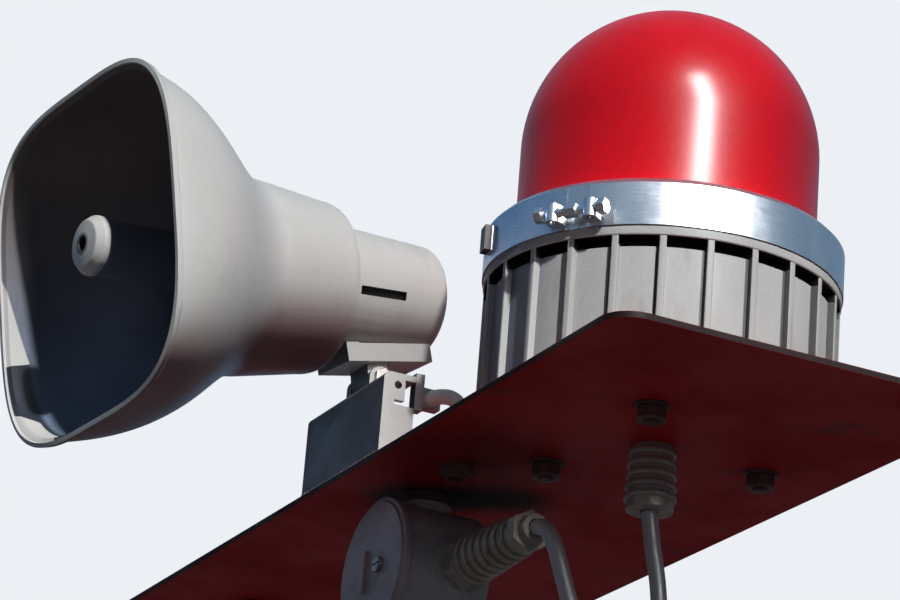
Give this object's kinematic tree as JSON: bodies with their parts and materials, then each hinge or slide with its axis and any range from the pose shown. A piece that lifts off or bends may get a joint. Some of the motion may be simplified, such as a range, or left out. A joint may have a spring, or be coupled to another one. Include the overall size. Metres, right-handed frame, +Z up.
{
  "type": "siren tower head",
  "caption": "Head of a civil-defence siren tower: a steel deck with a round red warning beacon and a horn loudspeaker on a tilting foot, a junction box, glands and a looped cable below.",
  "frame": {"origin": "middle of the mast seat, on the underside of the seat plate", "axes": "+X along the deck towards the beacon, -Y the way the horn faces, +Z up"},
  "size_m": [0.79, 0.4776, 0.4362],
  "materials": {
    "deck_red": "satin",
    "base_grey": "satin",
    "band_metal": "satin",
    "fastener_steel": "satin",
    "gasket_rubber": "matte",
    "dome_red": "gloss",
    "lamp_white": "matte",
    "lamp_glass": "gloss",
    "gland_metal": "satin",
    "box_grey": "satin",
    "lid_grey": "satin",
    "cable_grey": "matte",
    "stand_grey": "satin",
    "horn_grey": "satin",
    "horn_dark": "matte"
  },
  "bodies": {
    "deck": {"deck_plate": "deck_red", "seat_pad": "deck_red", "beacon_base": "base_grey", "beacon_studs": "fastener_steel", "clamp_band": "band_metal", "clamp_screw": "fastener_steel", "dome_gasket": "gasket_rubber", "beacon_dome": "dome_red", "lamp_tray": "lamp_white", "lamp_holder": "lamp_white", "lamp_tube": "lamp_glass", "beacon_gland": "gland_metal", "beacon_gland_nut": "gland_metal", "junction_box": "box_grey", "box_nipple": "gland_metal", "box_lid": "lid_grey", "box_lid_screw": "fastener_steel", "box_gland": "gland_metal", "box_gland_nut": "gland_metal", "loop_cable": "cable_grey", "stand_channel": "stand_grey", "stand_head": "stand_grey", "lead_block": "stand_grey", "horn_lead": "cable_grey", "lead_gland": "gland_metal", "pivot_bolt": "fastener_steel"},
    "horn": {"horn_bell": "horn_grey", "horn_core": "horn_dark", "core_cap": "horn_grey", "driver_cover": "horn_grey", "foot_rail": "stand_grey", "foot_lug": "stand_grey"}
  },
  "joints": [
    {"name": "horn_tilt", "type": "hinge", "parent": "deck", "child": "horn", "pos_m": [0.352, -0.112, 0.072], "axis": [1, 0, 0], "range_deg": [-20, 12]}
  ]
}
